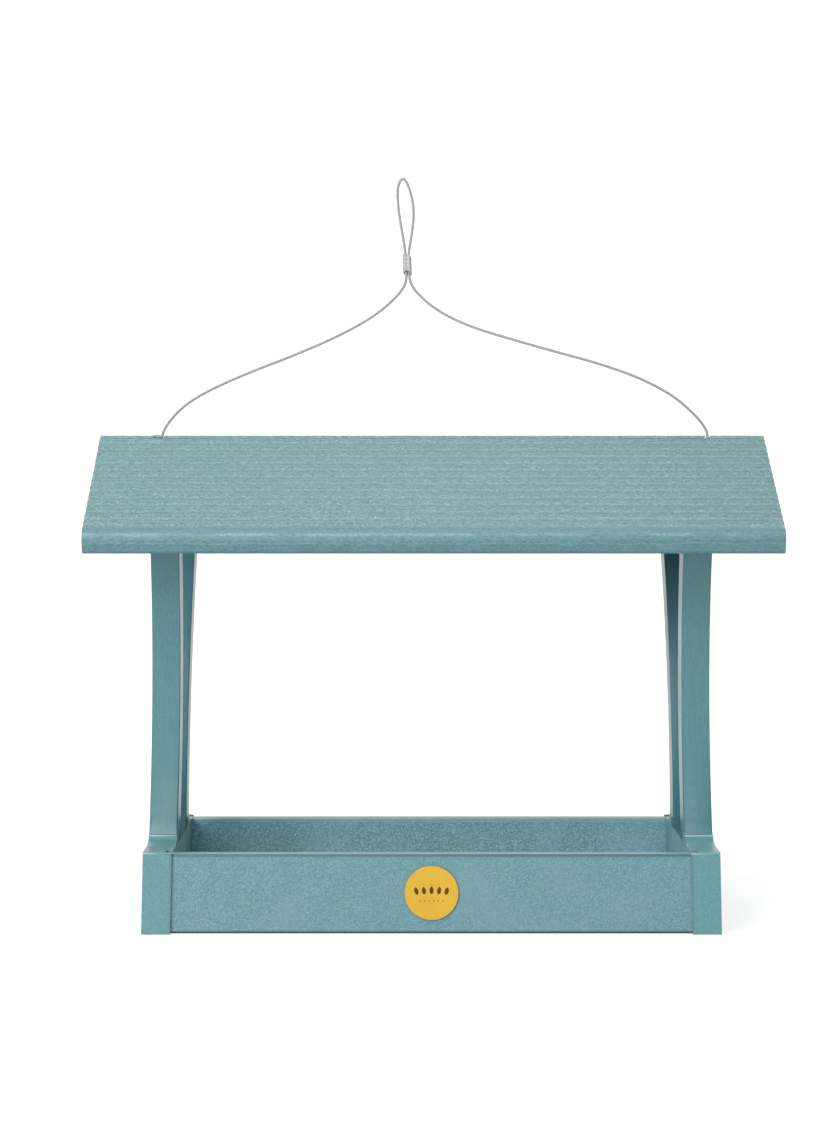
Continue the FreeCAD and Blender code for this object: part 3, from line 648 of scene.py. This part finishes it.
def cable_line():
    """Points along the smooth line that the route's corners steer."""
    curve = bpy.data.curves.new("cable_route", "CURVE")
    curve.dimensions = "3D"
    curve.resolution_u = 12
    spline = curve.splines.new("NURBS")
    spline.points.add(len(CABLE_ROUTE_MM) - 1)
    for point, (x, z) in zip(spline.points, CABLE_ROUTE_MM):
        point.co = (x * MM, 0.0, z * MM, 1.0)
    spline.order_u = 3
    spline.use_endpoint_u = True
    carrier = bpy.data.objects.new("cable_route", curve)
    bpy.context.scene.collection.objects.link(carrier)
    graph = bpy.context.evaluated_depsgraph_get()
    mesh = bpy.data.meshes.new_from_object(carrier.evaluated_get(graph))
    points = [v.co.copy() for v in mesh.vertices]
    bpy.data.objects.remove(carrier)
    bpy.data.curves.remove(curve)
    bpy.data.meshes.remove(mesh)
    loop_top = CAD_BOX[1].z - 0.5 * CABLE_DIAMETER
    for point in points:
        point.z = min(point.z, loop_top)
    return points


def resample(points, step):
    """Evenly spaced points along the smooth line, and its length."""
    total = sum((b - a).length for a, b in zip(points, points[1:]))
    count = max(2, round(total / step))
    spacing = total / count
    out = [points[0].copy()]
    travelled = 0.0
    target = spacing
    for a, b in zip(points, points[1:]):
        length = (b - a).length
        while length > 0 and travelled + length >= target - 1e-12 and len(out) < count:
            out.append(a.lerp(b, (target - travelled) / length))
            target += spacing
        travelled += length
    out.append(points[-1].copy())
    return out, total


def crosswise(line, i):
    """Two directions square to a line at its point i; the line lies near the plane y = 0."""
    ahead = line[min(i + 1, len(line) - 1)] - line[max(i - 1, 0)]
    ahead.normalize()
    across = ahead.cross(Vector((0, 1, 0))).normalized()
    return across, across.cross(ahead).normalized()


def tube_mesh(lines, radius, sides):
    """Vertices and faces of closed tubes along several lines."""
    vertices = []
    faces = []
    for line in lines:
        start = len(vertices)
        for i, point in enumerate(line):
            across, up = crosswise(line, i)
            for s in range(sides):
                angle = 2 * math.pi * s / sides
                vertices.append(point + radius * (math.cos(angle) * across + math.sin(angle) * up))
        for i in range(len(line) - 1):
            for s in range(sides):
                a = start + i * sides + s
                b = start + i * sides + (s + 1) % sides
                faces.append((a, b, b + sides, a + sides))
        faces.append(tuple(start + s for s in reversed(range(sides))))
        last = start + (len(line) - 1) * sides
        faces.append(tuple(last + s for s in range(sides)))
    return vertices, faces


def strand_lines(points, spacing):
    """A core and the strands that twist round it."""
    lines = [points]
    for strand in range(STRANDS):
        line = []
        for i, point in enumerate(points):
            across, up = crosswise(points, i)
            angle = 2 * math.pi * (strand / STRANDS + i * spacing / LAY_LENGTH)
            line.append(point + LAY_RADIUS * (math.cos(angle) * across + math.sin(angle) * up))
        lines.append(line)
    return lines


cable_points, cable_length = resample(cable_line(), LAY_LENGTH / RINGS_PER_LAY)
ring_spacing = cable_length / (len(cable_points) - 1)
rope_vertices, rope_faces = tube_mesh(strand_lines(cable_points, ring_spacing), STRAND_RADIUS, STRAND_SIDES)
rope = new_piece("wire_rope_strands", rope_vertices, rope_faces, ROPE)
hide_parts("hanging_cable")


# ---------------------------------------------------------------- crimped loop sleeve

SLEEVE_LOW = Vector((-16.8, 0.0, 437.8)) * MM
SLEEVE_HIGH = Vector((-17.4, 0.0, 452.8)) * MM
SLEEVE_HALF_WIDTH = 2.95 * MM
SLEEVE_BARREL_RADIUS = 1.62 * MM
SLEEVE_BORE_HALF_WIDTH = 2.12 * MM
SLEEVE_BORE_RADIUS = 1.08 * MM
SLEEVE_RINGS = 64
SLEEVE_SIDES = 64
CRIMPS = 4
CRIMP_DEPTH = 0.10
CRIMP_LENGTH = 0.05
WAIST = 0.12
LIP_LENGTH = 0.3 * MM
LIP_TAPER = 0.05
BACK_SLOPE = 1.1 * MM
FRONT_NOTCH = 3.9 * MM
TOP_CHAMFER = 2.4 * MM


def barrel_outline(half_width, radius, waist):
    """Closed outline of two joined circles; waist is how far the middle is drawn in, as a fraction."""
    outline = []
    for side in range(SLEEVE_SIDES):
        angle = 2 * math.pi * side / SLEEVE_SIDES
        x = half_width * math.cos(angle)
        beyond = max(0.0, abs(x) - (half_width - radius)) / radius
        y = radius * math.sqrt(max(0.0, 1.0 - beyond ** 2))
        if beyond == 0.0:
            middle = 1.0 - abs(x) / (half_width - radius)
            y = radius * (1.0 - waist * math.sin(math.pi / 2 * middle) ** 2)
        outline.append((x, math.copysign(y, math.sin(angle))))
    return outline


def pinch_at(t):
    """How hard the sleeve is crimped, 0 to 1, at a share t of its length."""
    places = [(crimp + 0.8) / (CRIMPS + 0.6) for crimp in range(CRIMPS)]
    return max(math.exp(-((t - place) / CRIMP_LENGTH) ** 2) for place in places)


def sleeve_piece():
    """Double-barrel sleeve, lightly crimped, cut slantwise at its lower end and open right through."""
    axis = SLEEVE_HIGH - SLEEVE_LOW
    up = axis.normalized()
    across = Vector((up.z, 0.0, -up.x))
    deep = Vector((0, 1, 0))
    outer = barrel_outline(SLEEVE_HALF_WIDTH, SLEEVE_BARREL_RADIUS, WAIST)
    inner = barrel_outline(SLEEVE_BORE_HALF_WIDTH, SLEEVE_BORE_RADIUS, 0.0)
    vertices = []
    for outline, is_outer in ((outer, True), (inner, False)):
        for ring in range(SLEEVE_RINGS + 1):
            t = ring / SLEEVE_RINGS
            near_end = min(t, 1 - t) * axis.length
            lip = 1.0 - LIP_TAPER * max(0.0, 1.0 - near_end / LIP_LENGTH) if is_outer else 1.0
            squeeze = (1.0 - CRIMP_DEPTH * pinch_at(t)) if is_outer else 1.0
            for x, y in outline:
                share = x / SLEEVE_HALF_WIDTH
                front = max(0.0, -y / SLEEVE_BARREL_RADIUS)
                leftward = max(0.0, -share)
                rightward = max(0.0, share)
                notch = FRONT_NOTCH * front * (1.0 - rightward ** 1.5) * (1.0 - 0.12 * leftward)
                slope = BACK_SLOPE * leftward * (1.0 - front)
                chamfer = TOP_CHAMFER * max(0.0, share - 0.25) / 0.75
                low_end = notch + slope
                length = axis.length - chamfer - low_end
                place = SLEEVE_LOW + up * (low_end + length * t)
                vertices.append(place + across * (x * lip) + deep * (y * lip * squeeze))
    count = SLEEVE_SIDES
    layer = (SLEEVE_RINGS + 1) * count
    faces = []
    for ring in range(SLEEVE_RINGS):
        for side in range(count):
            a = ring * count + side
            b = ring * count + (side + 1) % count
            faces.append((a, b, b + count, a + count))
            faces.append((layer + b, layer + a, layer + a + count, layer + b + count))
    top = SLEEVE_RINGS * count
    for side in range(count):
        other = (side + 1) % count
        faces.append((other, side, layer + side, layer + other))
        faces.append((top + side, top + other, layer + top + other, layer + top + side))
    return new_piece("crimped_sleeve", vertices, faces, SLEEVE)


sleeve = sleeve_piece()
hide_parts("loop_sleeve")


# ---------------------------------------------------------------- raised burr by the left cable hole

BURR_LEFT = Vector((-192.6, 0.0, 326.9)) * MM
BURR_LENGTH = 6.6 * MM
BURR_RISE = 1.25 * MM
BURR_HALF_DEPTH = 1.3 * MM
BURR_THICKNESS = 0.5 * MM
BURR_STEPS = 16


def burr_piece():
    """Low bump that the drill raised along the ridge."""
    vertices = []
    for step in range(BURR_STEPS + 1):
        t = step / BURR_STEPS
        rise = BURR_RISE * (math.sin(math.pi * t ** 0.62) ** 0.8 if 0.0 < t < 1.0 else 0.0)
        for side in range(BURR_STEPS + 1):
            u = 2.0 * side / BURR_STEPS - 1.0
            y = u * BURR_HALF_DEPTH
            crown = math.cos(math.pi / 2 * u) ** 0.7 if abs(u) < 1.0 else 0.0
            z = -abs(y) * 0.5 + rise * crown
            vertices.append(BURR_LEFT + Vector((t * BURR_LENGTH, y, z)))
    row = BURR_STEPS + 1
    faces = []
    for step in range(BURR_STEPS):
        for side in range(BURR_STEPS):
            a = step * row + side
            faces.append((a, a + row, a + row + 1, a + 1))
    piece = new_piece("ridge_burr", vertices, faces, ROOF)
    thick = piece.modifiers.new("thickness", "SOLIDIFY")
    thick.thickness = BURR_THICKNESS
    thick.offset = -1.0
    apply_modifiers(piece)
    return piece


burr = burr_piece()


# ---------------------------------------------------------------- badge

badge_low, badge_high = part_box("badge")
BADGE_CENTRE = (badge_low + badge_high) / 2
BADGE_RADIUS = (badge_high.x - badge_low.x) / 2
BADGE_BACK_Y = badge_high.y
BADGE_FRONT_Y = badge_low.y
BADGE_SPOKES = 128
BADGE_HEIGHT = BADGE_BACK_Y - BADGE_FRONT_Y
EDGE_ROUND = 0.45 * MM
EDGE_STEPS = 6
FOOT_CHAMFER = 0.15 * MM
RING_WIDTH = 0.75 * MM
FACE_DROP = 0.01 * MM


def lathe(name, profile, material):
    """Turned piece about the badge's axis; the profile holds (radius, height off the board)."""
    spokes = BADGE_SPOKES
    vertices = []
    for radius, height in profile:
        for spoke in range(spokes):
            angle = 2 * math.pi * spoke / spokes
            vertices.append((BADGE_CENTRE.x + radius * math.cos(angle), BADGE_BACK_Y - height,
                             BADGE_CENTRE.z + radius * math.sin(angle)))
    faces = []
    for ring in range(len(profile) - 1):
        for spoke in range(spokes):
            a = ring * spokes + spoke
            b = ring * spokes + (spoke + 1) % spokes
            faces.append((a, b, b + spokes, a + spokes))
    faces.append(tuple(reversed(range(spokes))))
    top = (len(profile) - 1) * spokes
    faces.append(tuple(top + s for s in range(spokes)))
    return new_piece(name, vertices, faces, material)


def badge_pieces():
    """Disc with a dark cut edge, a thin pale ring and the flat printed face."""
    top = BADGE_HEIGHT
    ring_outer = BADGE_RADIUS - EDGE_ROUND
    ring_inner = ring_outer - RING_WIDTH
    round_edge = [(BADGE_RADIUS - FOOT_CHAMFER, 0.0), (BADGE_RADIUS, FOOT_CHAMFER)]
    for step in range(EDGE_STEPS + 1):
        angle = math.pi / 2 * step / EDGE_STEPS
        round_edge.append((BADGE_RADIUS - EDGE_ROUND * (1.0 - math.cos(angle)),
                           top - EDGE_ROUND * (1.0 - math.sin(angle))))
    round_edge.append((ring_outer - 0.05 * MM, top - 0.30 * MM))
    ring = [(ring_outer, top - 0.10 * MM), (ring_outer, top),
            (ring_inner, top), (ring_inner, top - 0.10 * MM)]
    face = [(ring_inner, top - 0.20 * MM), (ring_inner, top - 3 * FACE_DROP)]
    face += [(share * ring_inner, top - FACE_DROP) for share in (0.985, 0.95, 0.5)]
    return (lathe("badge_edge", round_edge, BADGE_EDGE), lathe("badge_ring", ring, BADGE_RING),
            lathe("badge_face", face, BADGE))


SEED_PITCH = 5.0 * MM
SEED_LENGTH = 8.8 * MM
SEED_WIDTH = 4.7 * MM
SEED_RAISE = 1.9 * MM
SEED_DROP = 0.25 * MM
DOT_COUNT = 6
DOT_PITCH = 3.0 * MM
DOT_LENGTH = 2.4 * MM
DOT_WIDTH = 1.5 * MM
DOT_Z = -5.2 * MM
SEED_STEPS = 28
SEED_LAYERS = ((1.0, -0.06 * MM), (1.0, 0.02 * MM), (0.90, 0.06 * MM), (0.5, 0.085 * MM))
SEED_TILTS = (0.30, 0.14, 0.0, -0.14, -0.30)
SEED_COUNT = len(SEED_TILTS)
MARK_LIFT = BADGE_HEIGHT - 0.09 * MM


def seed(name, x, z, length, width, tilt, material):
    """Flat almond, pointed at one end, standing a hair proud of the badge's face."""
    outline = []
    for step in range(SEED_STEPS):
        angle = 2 * math.pi * step / SEED_STEPS
        along = math.cos(angle)
        taper = 1.0 - 0.45 * max(0.0, along) ** 2
        outline.append((0.5 * width * math.sin(angle) * taper, 0.5 * length * along))
    cosine = math.cos(tilt)
    sine = math.sin(tilt)
    vertices = []
    for shrink, rise in SEED_LAYERS:
        for px, pz in outline:
            vertices.append((BADGE_CENTRE.x + x + (px * cosine - pz * sine) * shrink,
                             BADGE_BACK_Y - MARK_LIFT - rise,
                             BADGE_CENTRE.z + z + (px * sine + pz * cosine) * shrink))
    faces = []
    last = (len(SEED_LAYERS) - 1) * SEED_STEPS
    for start in range(0, last, SEED_STEPS):
        for step in range(SEED_STEPS):
            a = start + step
            b = start + (step + 1) % SEED_STEPS
            faces.append((a, a + SEED_STEPS, b + SEED_STEPS, b))
    faces.append(tuple(range(SEED_STEPS)))
    faces.append(tuple(reversed(range(last, last + SEED_STEPS))))
    piece = new_piece(name, vertices, faces, material)
    return piece


badge_edge, badge_ring, badge_face = badge_pieces()
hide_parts("badge")
for index, tilt in enumerate(SEED_TILTS):
    place = index - (SEED_COUNT - 1) // 2
    seed("badge_seed_%d" % index, place * SEED_PITCH, SEED_RAISE - SEED_DROP * abs(place),
         SEED_LENGTH, SEED_WIDTH, tilt, BADGE_SEED)
for index in range(DOT_COUNT):
    place = index - 0.5 * (DOT_COUNT - 1)
    seed("badge_dot_%d" % index, place * DOT_PITCH, DOT_Z, DOT_LENGTH, DOT_WIDTH, 0.0, BADGE_DOT)


# ---------------------------------------------------------------- edges of the boards

EDGE_WIDTHS = {
    "end_frame": 0.2 * MM, "roof_board": 0.5 * MM, "tray_board": 0.3 * MM, "floor_rail": 0.4 * MM,
}

for node_name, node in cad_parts.items():
    for start, edge_width in EDGE_WIDTHS.items():
        if node_name.startswith(start):
            soften(node, edge_width)


# ---------------------------------------------------------------- studio

FLOOR_HALF_WIDTH = 8.0
FLOOR_NEAR_Y = -6.0
SWEEP_Y = 3.0
SWEEP_RADIUS = 1.5
SWEEP_STEPS = 16
WALL_TOP = 6.0
FLOOR_TONE = (0.30, 0.30, 0.30, 1.0)
BLACK = (0.0, 0.0, 0.0, 1.0)
WHITE = (1.0, 1.0, 1.0, 1.0)
SURROUND_RADIUS = 30.0
SURROUND_GLOW = 0.83


def studio_floor():
    """Pale sweep: flat floor that curves up behind the object."""
    g = Graph("studio_floor")
    g.set(Base_Color=FLOOR_TONE, Roughness=0.9, Specular_IOR_Level=0.1, Emission_Color=WHITE)
    g.link(g.ramp(g.axis("Y"), 0.3, 1.6, 0.72, 0.95), g.shader.inputs["Emission Strength"])
    profile = [(FLOOR_NEAR_Y, 0.0), (SWEEP_Y, 0.0)]
    for step in range(1, SWEEP_STEPS + 1):
        angle = math.pi / 2 * step / SWEEP_STEPS
        profile.append((SWEEP_Y + SWEEP_RADIUS * math.sin(angle), SWEEP_RADIUS * (1.0 - math.cos(angle))))
    profile.append((SWEEP_Y + SWEEP_RADIUS, WALL_TOP))
    vertices = [(x, y, z) for x in (-FLOOR_HALF_WIDTH, FLOOR_HALF_WIDTH) for y, z in profile]
    count = len(profile)
    faces = [(i, i + count, i + count + 1, i + 1) for i in range(count - 1)]
    new_object("studio_floor", vertices, faces, g.material)


def studio_surround():
    """Far pale backdrop on every other side; it casts no light or reflection on the object."""
    g = Graph("studio_surround")
    g.set(Base_Color=BLACK, Roughness=1.0, Specular_IOR_Level=0.0)
    g.set(Emission_Color=WHITE, Emission_Strength=SURROUND_GLOW)
    mesh = bpy.data.meshes.new("studio_surround")
    ball = bmesh.new()
    bmesh.ops.create_uvsphere(ball, u_segments=48, v_segments=24, radius=SURROUND_RADIUS)
    ball.to_mesh(mesh)
    ball.free()
    mesh.materials.append(g.material)
    obj = bpy.data.objects.new("studio_surround", mesh)
    bpy.context.scene.collection.objects.link(obj)
    obj.visible_diffuse = False
    obj.visible_glossy = False
    obj.visible_transmission = False
    obj.visible_volume_scatter = False
    obj.visible_shadow = False


def area_light(name, place, target, size, power):
    """Soft square light aimed at a point."""
    data = bpy.data.lights.new(name, "AREA")
    data.shape = "SQUARE"
    data.size = size
    data.energy = power
    light = bpy.data.objects.new(name, data)
    light.location = place
    aim = Vector(target) - Vector(place)
    light.rotation_euler = aim.to_track_quat("-Z", "Y").to_euler()
    bpy.context.scene.collection.objects.link(light)


studio_floor()
studio_surround()
area_light("overhead", (0.45, -0.2, 2.6), (0.0, 0.0, 0.2), 2.0, 42.0)
area_light("key_left", (-2.5, -3.1, 3.4), (0.0, 0.0, 0.15), 2.4, 190.0)
area_light("low_left", (-1.15, -3.4, 1.3), (0.0, 0.0, 0.10), 2.8, 100.0)

world = bpy.data.worlds.new("studio")
world.use_nodes = True
background = world.node_tree.nodes["Background"]
background.inputs["Color"].default_value = WHITE
background.inputs["Strength"].default_value = 0.15
bpy.context.scene.world = world
bpy.context.scene.view_settings.view_transform = "Standard"
bpy.context.scene.view_settings.look = "None"
